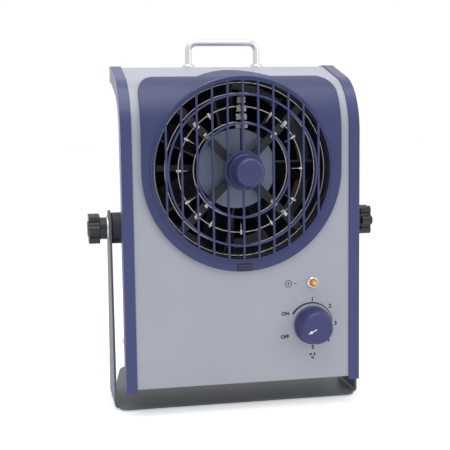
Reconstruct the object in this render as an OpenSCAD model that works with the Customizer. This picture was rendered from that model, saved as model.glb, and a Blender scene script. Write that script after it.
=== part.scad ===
// Bench ionizing blower: a tilting head with a round air outlet on a U-shaped sheet stand.
// +X is to the right of the outlet, the outlet faces -Y, +Z is up.
// The origin is the centre of the stand's base, on the surface that it rests on.

/* [Head] */
// Width over the two coloured side rims
head_w = 220; // [190:1:260]
// Depth from the front sheet to the rear wall
head_depth = 98; // [92:1:130]
// Height of the front sheet, from its lower edge to the ledge at the rear of the top
head_h = 292.7; // [285:0.1:340]
// Radius of the bend between the front and the sloping top
bend_r = 51.5; // [40:0.5:56]
// Slope of the top, in degrees
top_slope = 15.3; // [12:0.1:18]
// Depth of the flat ledge that carries the handle
ledge_d = 15; // [14:0.5:18]
// Thickness of the housing sheet
sheet_t = 1.5; // [1:0.1:2]
// Width of the coloured rim seen from the front
rim_w = 9.8; // [8:0.1:13]
// How far the rim reaches inwards from the front and the top
rim_deep = 14; // [10:0.5:20]
// How far the rim stands proud of the sheet
rim_proud = 1.2; // [0.6:0.1:2]
// How far the side panels reach below the front sheet
skirt_h = 3; // [2:0.1:5]
// Thickness of the side panels
side_t = 2.5; // [2:0.1:3]

/* [Stand] */
// Distance from a side rim to the outer face of the stand's arm
arm_gap = 8.5; // [8:0.1:30]
// Depth of the base plate
base_d = 158; // [140:1:190]
// Thickness of the stand's sheet
stand_t = 2; // [1.5:0.1:3]
// Gap between the base plate and the head
head_gap = 23.3; // [20:0.1:40]
// Thickness of the rubber pad under the base plate
pad_h = 1.5; // [1:0.1:3]
// Distance from the head's front to the stand's front edge
base_set_back = 22; // [15:1:30]
// Distance from the head's front to the foot of the arms
arm_set_back = 31; // [28:1:36]
// Width of an arm at its foot
arm_foot_w = 54; // [44:1:70]
// Radius of the rounded end of an arm
arm_end_r = 17; // [16:0.5:22]
// Inner radius of the bend at the foot of an arm
stand_bend_r = 2; // [1:0.5:4]
// Narrowing of the base plate towards the rear, on each side
base_taper = 12; // [4:1:20]

/* [Tilt pivot] */
// Distance of the tilt axis behind the head's front
pivot_back = 54; // [50:0.5:58]
// Height of the tilt axis above the lower edge of the front sheet
pivot_up = 142.5; // [136:0.5:150]
// Radius of the clamp stud
stud_r = 4; // [3:0.1:5]
// Radius of the spacer between the head and an arm
spacer_r = 14.7; // [12:0.1:16]
// Radius of the star knob over its lobes
clamp_r = 15.1; // [13:0.1:18]
// Thickness of the star knob's head
clamp_head_t = 10.2; // [8:0.1:14]
// Length of the star knob's neck
clamp_neck_l = 6.6; // [5:0.1:10]
// Radius of the star knob's neck
clamp_neck_r = 10.4; // [8:0.1:11]

/* [Outlet] */
// Width of the grey strip between the bezel and a side rim
strip_w = 8.2; // [6:0.1:12]
// Width of the bezel's border round the grille
bezel_w = 9.5; // [8:0.1:14]
// Distance from the bezel's upper edge to the top of the head
bezel_drop = 10.1; // [8:0.1:16]
// Wall of the sleeve that the bezel puts round the duct
sleeve_t = 1.8; // [1.5:0.1:3]
// Radius of the bezel's upper corners
bezel_corner_r = 16; // [10:0.5:24]
// Thickness of the bezel on the sheet
bezel_t = 3; // [2:0.1:4]
// How far the grille's face stands in front of the sheet
grille_proud = 4; // [3.4:0.1:6]
// Depth of the grille's bars
bar_d = 2.6; // [2:0.1:3]
// Width of the grille's bars
bar_w = 1.8; // [1.4:0.1:2.6]
// Distance between neighbouring bars
bar_pitch = 14; // [12:0.1:16]
// Inner grille ring, as a share of the grille's radius
ring_in_share = 0.514; // [0.45:0.001:0.6]
// Outer grille ring, as a share of the grille's radius
ring_out_share = 0.828; // [0.75:0.001:0.88]
// Radius of the grille's centre boss
boss_r = 18; // [17:0.1:20]

/* [Cleaner] */
// Radius of the collar under the cleaner knob
collar_r = 15.6; // [14:0.1:16.5]
// Length of the collar
collar_l = 10.5; // [8:0.1:14]
// Radius of the cleaner knob at its base
cleaner_r = 14.6; // [12:0.1:15.4]
// Length of the cleaner knob
cleaner_l = 19; // [14:0.1:24]
// Radius of the cleaner shaft
cleaner_shaft_r = 2.5; // [2:0.1:3.5]
// Number of bristle tufts on the brush
tuft_count = 4; // [3:1:5]

/* [Emitter] */
// Distance of the wire rings behind the front sheet
wire_y = 11; // [10.8:0.1:13]
// Radius of the rings' wire
wire_r = 0.8; // [0.5:0.1:1]
// Emitter ring, as a share of the grille's radius
emitter_share = 0.698; // [0.66:0.001:0.74]
// Inner guard ring, as a share of the grille's radius
guard_in_share = 0.528; // [0.5:0.001:0.56]
// Outer guard ring, as a share of the grille's radius
guard_out_share = 0.846; // [0.82:0.001:0.87]
// Number of emitter needles
needle_count = 12; // [8:4:16]
// Length of an emitter needle
needle_l = 7; // [5:0.5:8]
// Width of the emitter frame's arms
spider_w = 7.5; // [6:0.1:10]
// Thickness of the emitter frame's arms
spider_t = 5; // [4:0.1:6]

/* [Fan] */
// Rotor hub, as a share of the grille's radius
hub_share = 0.436; // [0.4:0.001:0.46]
// Distance of the hub's front face behind the front sheet
hub_y = 30; // [29:0.5:31]
// Depth of the rotor
rotor_d = 25; // [22:0.5:26]
// Number of fan blades
blade_count = 7; // [5:1:9]
// Thickness of a fan blade
blade_t = 2; // [1.5:0.1:3]
// Clearance between the blade tips and the fan ring
tip_gap = 1.6; // [1:0.1:3]
// Wall of the fan ring
fan_wall = 2.2; // [1.8:0.1:3]
// Depth of the fan ring
fan_d = 37.5; // [36:0.5:39]
// Radius of the motor shaft
motor_shaft_r = 3; // [2:0.1:4]
// Air inlet in the rear wall, as a share of the grille's radius
inlet_share = 0.85; // [0.75:0.01:0.9]
// Thickness of the filter behind the inlet
filter_t = 5; // [3:0.5:8]

/* [Controls] */
// Distance of the dial from the middle of the front
dial_x = 64.9; // [60:0.1:70]
// Height of the dial above the lower edge of the front sheet
dial_z = 51.4; // [46:0.1:58]
// Radius of the dial knob at its base
dial_r = 17.9; // [15:0.1:20]
// Radius of the dial knob's face
dial_face_r = 13.2; // [10:0.1:14.5]
// Length of the dial knob
dial_l = 19; // [15:0.5:24]
// Angle of the pointer at OFF, anticlockwise from +X, in degrees
dial_off_angle = 206; // [180:1:225]
// Height of the lamp above the lower edge of the front sheet
lamp_z = 91.6; // [84:0.1:94]
// Radius of the lamp's bezel
lamp_r = 5.7; // [5:0.1:7]

/* [Handle] */
// Distance between the handle's legs
handle_span = 67.6; // [60:0.1:110]
// Height of the handle above the ledge
handle_h = 26.8; // [24:0.1:45]
// Radius of the handle's rod
rod_r = 3.3; // [2.5:0.1:4]
// Radius of the handle's bends
handle_bend_r = 8; // [5:0.5:12]
// Radius of the ferrules at the handle's feet
ferrule_r = 6; // [5:0.1:6.6]

/* [Hidden] */
$fn = 96;

slide_gap = 0.1;      // between pieces of the head that slip into each other
run_gap = 0.05;       // radial clearance of a turning shaft in its bore
face_gap = 0.3;       // between faces that turn against each other
eps = 1;              // how far a cutting tool reaches past a face

stand_w = head_w + 2 * arm_gap;
front_y = -base_d / 2 - base_set_back;
head_z = pad_h + stand_t + head_gap;
wall_x = head_w / 2 - rim_w;
sheet_x = wall_x - slide_gap;
arm_x = stand_w / 2 - stand_t;
ledge_y = head_depth - ledge_d;
slope_z = head_h - tan(top_slope) * ledge_y;
bend_z = slope_z + tan(top_slope) * bend_r - bend_r / cos(top_slope);

bezel_r = wall_x - strip_w;
grille_r = bezel_r - bezel_w;
bore_r = grille_r + 0.2;
sleeve_r = bore_r + sleeve_t;
bezel_top = sleeve_r + 1;
outlet_z = head_h - bezel_drop - bezel_top;
ring_in_r = ring_in_share * grille_r;
ring_out_r = ring_out_share * grille_r;
emitter_r = emitter_share * grille_r;
guard_in_r = guard_in_share * grille_r;
guard_out_r = guard_out_share * grille_r;
hub_r = hub_share * grille_r;
inlet_r = inlet_share * grille_r;
motor_r = hub_r - 8;
fan_bolt_r = grille_r + 10;
tuft_start = hub_r + 1.5;
tuft_pitch = (guard_out_r - 2.2 - tuft_start) / tuft_count;
bay = sheet_x / 10;
sleeve_end = (outlet_z + sleeve_r - slope_z) / tan(top_slope) + 1;
seat_y = bar_d - grille_proud + 0.6;
duct_start = seat_y + 2.4;
duct_wall = 2;
duct_in_r = grille_r - duct_wall;
fan_start = 24.5;
fan_end = fan_start + fan_d;
flange_t = 4;
fan_in_r = grille_r - fan_wall;
rotor_r = fan_in_r - tip_gap;
spider_y = wire_y + wire_r;
cap_t = 1.8;
hub_wall = 4;
hub_front_t = 3;
blade_front = hub_y + 2;
brush_y = 4.2;

dial_front = 1;
handle_y = head_depth - ledge_d / 2;
stud_bore_r = stud_r + 0.3;
washer_t = 1.5;
washer_x = stand_w / 2 + face_gap;
clamp_x = washer_x + washer_t;
nut_l = 8;

// Places a shape given from the head's lower front edge.
module in_head() { translate([0, front_y, head_z]) children(); }
// Places a shape given from the point where the fan axis meets the front sheet.
module on_axis() { in_head() translate([0, 0, outlet_z]) children(); }
// Draws a flat shape in X and Z, from y0 to y1.
module along_y(y0, y1) { translate([0, y1, 0]) rotate([90, 0, 0]) linear_extrude(y1 - y0) children(); }
// Draws a flat shape in Y and Z, from x0 to x1.
module along_x(x0, x1) { translate([x0, 0, 0]) rotate([90, 0, 90]) linear_extrude(x1 - x0) children(); }
module disc(r, y0, y1) { along_y(y0, y1) circle(r); }
module tube(r_out, r_in, y0, y1) { along_y(y0, y1) difference() { circle(r_out); circle(r_in); } }
module wire_ring(r, y, wire) { translate([0, y, 0]) rotate([90, 0, 0]) rotate_extrude() translate([r, 0]) circle(wire, $fn = 24); }
module box(x, y, z) { translate([x[0], y[0], z[0]]) cube([x[1] - x[0], y[1] - y[0], z[1] - z[0]]); }
// Repeats a shape n times round the fan axis, starting at an angle.
module around(n, start = 0) { for (i = [0 : n - 1]) rotate([0, -start - i * 360 / n, 0]) children(); }
module both_sides() { children(); mirror([1, 0, 0]) children(); }

// Side outline of the head, moved outwards by d at the front and the top.
module head_side(d = 0, low = 0) {
    lift = d / cos(top_slope);
    corner_y = (head_h + d - slope_z - lift) / tan(top_slope);
    r = bend_r + d;
    polygon([[-d, low], [-d, bend_z], [bend_r - r * sin(top_slope), bend_z + r * cos(top_slope)],
        [corner_y, head_h + d], [head_depth, head_h + d], [head_depth, low]]);
    intersection() {
        translate([bend_r, bend_z]) circle(r);
        translate([-d, bend_z]) square(r);
    }
}

// Point where a line from p touches the circle of radius r round c, on the left (1) or right (-1).
function touch(p, c, r, side) =
    let (v = p - c, d = norm(v), a = atan2(v[1], v[0]) + side * acos(r / d)) c + r * [cos(a), sin(a)];

// ---------- stand ----------
module base_outline(inset = 0) {
    corner = 9;
    rear = 20;
    half = arm_x - stand_bend_r;
    shoulder = -base_d / 2 + arm_set_back - base_set_back + arm_foot_w;
    hull() {
        for (s = [-1, 1]) {
            translate([s * (half - corner), -base_d / 2 + corner]) circle(corner - inset, $fn = 48);
            translate([s * (half - corner), shoulder]) circle(corner - inset, $fn = 48);
            translate([s * (half - base_taper - rear), base_d / 2 - rear]) circle(rear - inset, $fn = 48);
        }
    }
}
module arm_outline() {
    c = [pivot_back, pivot_up + head_z];
    foot = pad_h + stand_t + stand_bend_r;
    p1 = [arm_set_back, foot];
    p2 = [arm_set_back + arm_foot_w, foot];
    polygon([p1, p2, touch(p2, c, arm_end_r, 1), c, touch(p1, c, arm_end_r, -1)]);
    translate(c) circle(arm_end_r);
}
module stand_arm() {
    r_out = stand_bend_r + stand_t;
    translate([0, front_y, 0]) difference() {
        along_x(arm_x, stand_w / 2) arm_outline();
        translate([arm_x - eps, pivot_back, head_z + pivot_up]) rotate([0, 90, 0])
            cylinder(r = stud_r + run_gap, h = stand_t + 2 * eps);
    }
    translate([stand_w / 2 - r_out, front_y + arm_set_back, pad_h + r_out]) rotate([-90, 0, 0])
        linear_extrude(arm_foot_w) intersection() {
            difference() { circle(r_out); circle(stand_bend_r); }
            square(r_out + eps);
        }
}
module stand_bracket() color([0.28, 0.30, 0.33]) {
    translate([0, 0, pad_h]) linear_extrude(stand_t) base_outline();
    both_sides() stand_arm();
}
module base_pad() color([0.1, 0.1, 0.1]) linear_extrude(pad_h) base_outline(6);

// ---------- housing ----------
handle_hole_r = rod_r + slide_gap;
bush_r = 4.5;
lens_r = 3.9;
module front_panel() color([0.66, 0.68, 0.73]) in_head() difference() {
    union() {
        along_x(-sheet_x, sheet_x) difference() { head_side(); head_side(-sheet_t); }
        box([-sheet_x, sheet_x], [0, 12], [0, sheet_t]);
    }
    translate([0, 0, outlet_z]) disc(sleeve_r + slide_gap, -eps, sleeve_end + 2);
    translate([dial_x, 0, dial_z]) disc(bush_r + slide_gap, -eps, sheet_t + eps);
    translate([dial_x, 0, lamp_z]) disc(lens_r + slide_gap, -eps, sheet_t + eps);
    for (s = [-1, 1]) translate([s * handle_span / 2, handle_y, head_h - sheet_t - eps])
        cylinder(r = handle_hole_r, h = sheet_t + 2 * eps);
}

socket_x = -5.8 * bay;
socket_z = 34;
socket_w = 27;
socket_h = 20;
earth_x = 6.2 * bay;
earth_z = 30;
earth_r = 2;
screw_r = 2;
side_screw_z = [24, 150, 262];
side_screw_y = head_depth - 8;
rear_top = head_h - sheet_t - slide_gap;
module rear_cover() color([0.62, 0.64, 0.69]) in_head() difference() {
    union() {
        box([-sheet_x, sheet_x], [head_depth - sheet_t, head_depth], [0, rear_top]);
        box([-sheet_x, sheet_x], [12 + slide_gap, head_depth - sheet_t], [0, sheet_t]);
        for (s = [-1, 1]) translate([s * (sheet_x - sheet_t / 2), 0, 0])
            box([-sheet_t / 2, sheet_t / 2], [head_depth - 15, head_depth - sheet_t], [sheet_t, rear_top - 8]);
    }
    translate([0, 0, outlet_z]) disc(inlet_r, head_depth - sheet_t - eps, head_depth + eps);
    translate([0, 0, outlet_z]) around(4, 45) translate([fan_bolt_r, 0, 0])
        disc(screw_r + slide_gap, head_depth - sheet_t - eps, head_depth + eps);
    translate([socket_x, 0, socket_z]) box([-socket_w / 2, socket_w / 2],
        [head_depth - sheet_t - eps, head_depth + eps], [-socket_h / 2, socket_h / 2]);
    for (s = [-1, 1]) translate([socket_x + s * 20, 0, socket_z])
        disc(1.6, head_depth - sheet_t - eps, head_depth + eps);
    translate([earth_x, 0, earth_z]) disc(earth_r + slide_gap, head_depth - sheet_t - eps, head_depth + eps);
    for (s = [-1, 1], z = side_screw_z) translate([s * (sheet_x - sheet_t / 2), side_screw_y, z])
        rotate([0, 90, 0]) cylinder(r = screw_r + slide_gap, h = sheet_t + 2 * eps, center = true);
    for (i = [-4 : 4]) translate([i * 9, 0, 58])
        box([-1.75, 1.75], [head_depth - sheet_t - eps, head_depth + eps], [0, 34]);
}
module side_panel() in_head() difference() {
    union() {
        along_x(wall_x, wall_x + side_t) head_side(rim_proud, -skirt_h);
        along_x(wall_x, head_w / 2) difference() {
            head_side(rim_proud, -skirt_h);
            head_side(-rim_deep, -skirt_h - eps);
            translate([head_depth - eps, -skirt_h]) square([2 * eps, head_h - rim_deep + skirt_h]);
        }
    }
    translate([wall_x - eps, pivot_back, pivot_up]) rotate([0, 90, 0])
        cylinder(r = stud_bore_r, h = side_t + 2 * eps);
    for (z = side_screw_z) translate([wall_x - eps, side_screw_y, z]) rotate([0, 90, 0])
        cylinder(r = screw_r + slide_gap, h = side_t + 2 * eps);
}
module left_side_panel() color([0.25, 0.28, 0.50]) mirror([1, 0, 0]) side_panel();
module right_side_panel() color([0.25, 0.28, 0.50]) side_panel();
module side_screws() color([0.7, 0.7, 0.72]) in_head() both_sides() for (z = side_screw_z)
    translate([wall_x + side_t, side_screw_y, z]) rotate([0, 90, 0]) {
        difference() {
            intersection() {
                cylinder(r = 3.8, h = 2.4);
                translate([0, 0, -3.2]) sphere(5.6);
            }
            for (a = [0, 90]) rotate(a) translate([-2.2, -0.4, 1.2]) cube([4.4, 0.8, 2]);
        }
        translate([0, 0, -8]) cylinder(r = screw_r, h = 8);
    }

// ---------- outlet ----------
latch_w = 12.8;
latch_low = bezel_r - 1;
latch_high = sleeve_r + 0.6;
module shield() {
    circle(bezel_r);
    translate([-bezel_r, 0]) square([2 * bezel_r, bezel_top - bezel_corner_r]);
    translate([-bezel_r + bezel_corner_r, 0]) square([2 * (bezel_r - bezel_corner_r), bezel_top]);
    for (s = [-1, 1]) translate([s * (bezel_r - bezel_corner_r), bezel_top - bezel_corner_r])
        circle(bezel_corner_r);
}
module grille_bezel() color([0.27, 0.30, 0.52]) in_head() difference() {
    union() {
        intersection() {
            translate([0, 0, outlet_z]) along_y(-bezel_t - eps, head_depth) shield();
            along_x(-bezel_r - eps, bezel_r + eps) difference() { head_side(bezel_t); head_side(); }
        }
        translate([0, 0, outlet_z]) disc(sleeve_r, -grille_proud, sleeve_end);
    }
    translate([0, 0, outlet_z]) {
        disc(bore_r, -grille_proud - eps, seat_y);
        disc(bore_r - 1.2, seat_y - eps, duct_start);
        disc(bore_r, duct_start, sleeve_end + eps);
        box([-latch_w / 2, latch_w / 2], [-bezel_t - eps, 0], [-latch_low, -latch_high]);
    }
}
module grille_latch() color([0.12, 0.13, 0.2]) on_axis() {
    low = -latch_low + 0.3;
    box([-latch_w / 2 + 0.3, latch_w / 2 - 0.3], [-bezel_t - 0.6, 0], [low, -latch_high - 0.3]);
    box([-latch_w / 2 + 2, latch_w / 2 - 2], [-bezel_t - 1.8, -bezel_t - 0.6], [low + 1, low + 2.4]);
}
module bar_rows() {
    n = floor((grille_r - 4) / bar_pitch);
    for (i = [-n : n]) translate([i * bar_pitch - bar_w / 2, -grille_r]) square([bar_w, 2 * grille_r]);
}
module outlet_grille() color([0.30, 0.32, 0.52]) on_axis() {
    back = bar_d - grille_proud;
    spigot_r = collar_r / 2;
    difference() {
        union() {
            along_y(-grille_proud, back) intersection() {
                circle(grille_r - 1);
                bar_rows();
            }
            for (r = [ring_in_r, ring_out_r]) tube(r + bar_w / 2, r - bar_w / 2, -grille_proud + 0.2, back);
            tube(grille_r, grille_r - 1.4, -grille_proud + 0.2, seat_y);
            disc(boss_r, -grille_proud - 2, back + 0.4);
        }
        disc(spigot_r + slide_gap, -grille_proud - 2 - eps, back + 0.4 + eps);
    }
}
module air_duct() color([0.06, 0.06, 0.07]) on_axis()
    tube(grille_r, duct_in_r, duct_start, fan_start - 0.2);

// ---------- cleaner ----------
collar_back = -grille_proud - 2;
module knob_collar() color([0.07, 0.07, 0.09]) on_axis() difference() {
    union() {
        translate([0, collar_back, 0]) rotate([90, 0, 0]) rotate_extrude() polygon([[0, 0], [collar_r, 0],
            [collar_r, collar_l - 1.2], [collar_r - 1.2, collar_l], [0, collar_l]]);
        disc(collar_r / 2, collar_back - eps, bar_d - grille_proud + 0.4);
    }
    disc(cleaner_shaft_r + run_gap, collar_back - collar_l - eps, 2);
}
cleaner_back = collar_back - collar_l - face_gap;
module cleaner_knob() color([0.25, 0.29, 0.55]) on_axis() difference() {
    translate([0, cleaner_back, 0]) rotate([90, 0, 0]) rotate_extrude() {
        polygon([[0, 0], [cleaner_r, 0], [cleaner_r - 1.6, cleaner_l - 4], [cleaner_r - 5.6, cleaner_l - 4],
            [cleaner_r - 5.6, cleaner_l], [0, cleaner_l]]);
        intersection() {
            translate([cleaner_r - 5.6, cleaner_l - 4]) circle(4);
            translate([cleaner_r - 5.6, cleaner_l - 4]) square(4);
        }
    }
    disc(cleaner_shaft_r, cleaner_back - cleaner_l + 6, cleaner_back + eps);
}
module cleaner_shaft() color([0.75, 0.75, 0.77]) on_axis()
    disc(cleaner_shaft_r, cleaner_back - cleaner_l + 6, spider_y + spider_t - 1);
module brush_arm() color([0.08, 0.08, 0.09]) on_axis() {
    difference() {
        disc(6, 0.6, 8);
        disc(cleaner_shaft_r, 0, 9);
    }
    translate([0, brush_y, 5.6]) cylinder(r = 1.5, h = tuft_start + tuft_count * tuft_pitch - 5.6);
}
module brush_tufts() color([0.95, 0.95, 0.93]) on_axis() {
    length = tuft_pitch - 1.2;
    for (i = [0 : tuft_count - 1]) difference() {
        intersection() {
            translate([0, brush_y, tuft_start + i * tuft_pitch])
                cylinder(r1 = 5.8 - i * 0.6, r2 = 5.2 - i * 0.6, h = length);
            box([-8, 8], [brush_y - 4.2, brush_y + 4.2], [0, grille_r]);
        }
        translate([0, brush_y, 0]) cylinder(r = 1.5, h = grille_r);
    }
}

// ---------- emitter ----------
module emitter_frame() color([0.07, 0.07, 0.08]) on_axis() difference() {
    union() {
        disc(14, spider_y, spider_y + spider_t + 1);
        around(4, 45) box([8, duct_in_r - 1.2], [spider_y, spider_y + spider_t], [-spider_w / 2, spider_w / 2]);
        tube(duct_in_r - slide_gap, duct_in_r - 2.2, spider_y, spider_y + spider_t + 2);
    }
    disc(cleaner_shaft_r + run_gap, spider_y - eps, spider_y + spider_t);
}
module guard_rings() color([0.85, 0.85, 0.8]) on_axis() {
    wire_ring(guard_in_r, wire_y, wire_r);
    wire_ring(guard_out_r, wire_y, wire_r);
    wire_ring(duct_in_r - 1.2, wire_y, wire_r);
}
module emitter_ring() color([0.85, 0.8, 0.6]) on_axis() wire_ring(emitter_r, wire_y, wire_r);
module needle_sockets() color([0.8, 0.8, 0.8]) on_axis() around(needle_count) difference() {
    translate([emitter_r - 2.4, wire_y, 0]) rotate([0, 90, 0]) cylinder(r = 1.5, h = 4.4);
    wire_ring(emitter_r, wire_y, wire_r);
}
module emitter_needles() color([0.9, 0.9, 0.9]) on_axis() around(needle_count)
    translate([emitter_r - 2.4, wire_y, 0]) rotate([0, -90, 0]) cylinder(r1 = 0.5, r2 = 0.1, h = needle_l);
module wire_clips() color([0.9, 0.9, 0.9]) on_axis() around(4, 45) for (r = [guard_in_r, emitter_r])
    box([r - 3.4, r + 3.4], [wire_y - wire_r - 1.2, wire_y - wire_r], [-1.6, 1.6]);

// ---------- fan ----------
module fan_frame() color([0.05, 0.05, 0.06]) on_axis() difference() {
    union() {
        disc(grille_r, fan_start, fan_end);
        disc(grille_r + 3, fan_end - flange_t, fan_end);
        around(4, 45) {
            box([grille_r - 2, fan_bolt_r], [fan_end - flange_t, fan_end], [-6, 6]);
            translate([fan_bolt_r, 0, 0]) disc(6, fan_end - flange_t, fan_end);
        }
    }
    difference() {
        disc(fan_in_r, fan_start - eps, fan_end + eps);
        disc(motor_r + 2, fan_end - flange_t, fan_end);
        around(4) box([motor_r, grille_r - 1], [fan_end - flange_t, fan_end], [-3, 3]);
    }
    around(4, 45) translate([fan_bolt_r, 0, 0]) disc(screw_r + slide_gap, fan_end - flange_t - eps, fan_end + eps);
    disc(motor_shaft_r + 2, fan_end - flange_t - eps, fan_end + eps);
}
module blade() {
    camber_r = 40;
    half = 27;
    pitch = 34;
    mid_y = blade_front + (rotor_d - 2) / 2;
    translate([0, mid_y, hub_r - 8]) linear_extrude(rotor_r - hub_r + 12)
        rotate(90 - pitch) translate([0, -camber_r + blade_t / 2]) intersection() {
            difference() { circle(camber_r); circle(camber_r - blade_t); }
            polygon([[0, 0], [-2 * camber_r * sin(half), 2 * camber_r * cos(half)],
                [2 * camber_r * sin(half), 2 * camber_r * cos(half)]]);
        }
}
module fan_rotor() color([0.09, 0.09, 0.1]) on_axis() {
    difference() {
        disc(hub_r, hub_y, hub_y + rotor_d - 1);
        disc(hub_r - hub_wall, hub_y + hub_front_t, hub_y + rotor_d);
        disc(motor_shaft_r, hub_y - eps, hub_y + hub_front_t + eps);
    }
    intersection() {
        around(blade_count) rotate([0, 90, 0]) blade();
        tube(rotor_r, hub_r - hub_wall / 2, hub_y, hub_y + rotor_d);
    }
}
module hub_cap() color([0.62, 0.66, 0.74]) on_axis() disc(hub_r + 1, hub_y - cap_t, hub_y);
module motor_shaft() color([0.8, 0.8, 0.8]) on_axis() disc(motor_shaft_r, hub_y, fan_end - 3);
bearing_r = 8;
bearing_t = 5;
motor_front = hub_y + hub_front_t + 2.5;
motor_back = fan_end - flange_t;
module fan_motor() color([0.5, 0.3, 0.2]) on_axis() tube(motor_r, bearing_r, motor_front, motor_back);
module motor_bearings() color([0.8, 0.8, 0.8]) on_axis()
    for (y = [motor_front, motor_back - bearing_t])
        tube(bearing_r, motor_shaft_r + run_gap, y, y + bearing_t);
module screw_y(head_r, head_t, length) {
    difference() {
        intersection() {
            disc(head_r, -head_t, 0);
            translate([0, head_r * 0.75, 0]) sphere(head_r * 1.42);
        }
        for (a = [0, 90]) rotate([0, a, 0]) box([-head_r * 0.6, head_r * 0.6], [-head_t - eps, -head_t / 2], [-0.4, 0.4]);
    }
    disc(screw_r, 0, length);
}
module fan_screws() color([0.75, 0.75, 0.75]) on_axis() around(4, 45)
    translate([fan_bolt_r, fan_end - flange_t, 0]) screw_y(3.6, 2.2, flange_t + 6);
rear_y = head_depth - sheet_t;
module fan_standoffs() color([0.8, 0.78, 0.7]) on_axis() around(4, 45) translate([fan_bolt_r, 0, 0]) difference() {
    along_y(fan_end, rear_y) circle(4.6, $fn = 6);
    disc(screw_r, fan_end - eps, fan_end + 6.1);
    disc(screw_r, rear_y - 6.1, rear_y + eps);
}
module rear_guard() color([0.12, 0.12, 0.13]) on_axis() {
    guard_wire = 1.1;
    guard_y = head_depth + guard_wire;
    difference() {
        union() {
            for (i = [1 : 5]) wire_ring(i * 0.19 * inlet_r, guard_y, guard_wire);
            wire_ring(inlet_r + 4, guard_y, guard_wire);
            around(4, 45) box([0.18 * inlet_r, fan_bolt_r], [head_depth + 0.4, head_depth + 1.8], [-1.5, 1.5]);
            around(4, 45) translate([fan_bolt_r, 0, 0]) disc(5, head_depth, head_depth + 1.8);
        }
        around(4, 45) translate([fan_bolt_r, 0, 0]) disc(screw_r + slide_gap, head_depth - eps, head_depth + 3);
    }
}
module inlet_filter() color([0.08, 0.08, 0.08]) on_axis() disc(inlet_r + 5, rear_y - filter_t, rear_y);
module guard_screws() color([0.75, 0.75, 0.75]) on_axis() around(4, 45)
    translate([fan_bolt_r, head_depth + 1.8, 0]) mirror([0, 1, 0]) screw_y(3.6, 2.2, 1.8 + sheet_t + 6);

// ---------- controls ----------
dial_shaft_r = 3;
bush_front = 6;
module at_dial() { in_head() translate([dial_x, 0, dial_z]) children(); }
module speed_switch() color([0.2, 0.2, 0.22]) at_dial() difference() {
    union() {
        disc(12, sheet_t, sheet_t + 10);
        disc(bush_r, -bush_front, sheet_t + eps);
        box([-9, 9], [sheet_t + 2, sheet_t + 4], [-19, -10]);
    }
    disc(dial_shaft_r + run_gap, -bush_front - eps, sheet_t + 8);
}
module switch_nut() color([0.75, 0.75, 0.78]) at_dial() difference() {
    along_y(-2.4, 0) circle(7.4, $fn = 6);
    disc(bush_r, -4, 1);
}
module dial_shaft() color([0.8, 0.8, 0.8]) at_dial() disc(dial_shaft_r, -dial_l + 2, sheet_t + 7);
dial_flutes = 18;
module dial_knob() color([0.27, 0.28, 0.52]) at_dial() difference() {
    translate([0, -dial_front, 0]) rotate([90, 0, 0]) rotate_extrude() polygon([[0, 0], [dial_r, 0], [dial_r, 2.5],
        [dial_r - 1.2, 3.2], [dial_face_r + 1.4, dial_l - 2.4], [dial_face_r, dial_l - 1], [0, dial_l - 1]]);
    disc(9, -bush_front - 1, 0);
    disc(dial_shaft_r, -dial_l + 2, 0);
}
module dial_pointer() color([0.95, 0.95, 0.95]) at_dial() rotate([0, -dial_off_angle, 0])
    along_y(-dial_l - 0.3, -dial_l) polygon([[1.5, -0.45], [6.4, -0.45], [6.4, -1.5], [10.4, 0], [6.4, 1.5],
        [6.4, 0.45], [1.5, 0.45]]);
module at_lamp() { in_head() translate([dial_x, 0, lamp_z]) children(); }
module lamp_bezel() color([0.8, 0.8, 0.82]) at_lamp() difference() {
    translate([0, 0, 0]) rotate([90, 0, 0]) rotate_extrude() polygon([[lens_r, 0], [lamp_r, 0], [lamp_r - 0.4, 2],
        [lamp_r - 1.2, 3], [lens_r, 3]]);
    disc(lens_r, -4, 0.5);
}
module lamp_lens() color([0.9, 0.6, 0.1]) at_lamp() {
    disc(lens_r, -3.2, sheet_t + 9);
    translate([0, -3.2, 0]) intersection() {
        sphere(lens_r);
        box([-lens_r, lens_r], [-lens_r, 0.5], [-lens_r, lens_r]);
    }
}

// ---------- handle ----------
module handle_leg(x) { in_head() translate([x, handle_y, head_h]) children(); }
module carry_handle() color([0.85, 0.85, 0.87]) in_head() translate([0, handle_y, head_h]) {
    half = handle_span / 2;
    top = handle_h - rod_r;
    both_sides() {
        translate([half, 0, -9]) cylinder(r = rod_r, h = 9 + top - handle_bend_r);
        translate([half - handle_bend_r, 0, top - handle_bend_r]) rotate([90, 0, 0])
            rotate_extrude(angle = 90) translate([handle_bend_r, 0]) circle(rod_r, $fn = 48);
    }
    translate([-half + handle_bend_r, 0, top]) rotate([0, 90, 0])
        cylinder(r = rod_r, h = 2 * (half - handle_bend_r));
}
module handle_ferrules() color([0.8, 0.8, 0.82]) for (s = [-1, 1]) handle_leg(s * handle_span / 2)
    rotate_extrude() polygon([[rod_r, 0], [ferrule_r, 0], [ferrule_r, 1.6], [ferrule_r - 1.4, 3], [rod_r, 3]]);
module handle_nuts() color([0.8, 0.8, 0.8]) for (s = [-1, 1]) handle_leg(s * handle_span / 2)
    translate([0, 0, -sheet_t - 5]) difference() {
        cylinder(r = 5.8, h = 5, $fn = 6);
        translate([0, 0, -eps]) cylinder(r = rod_r, h = 5 + 2 * eps);
    }

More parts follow.
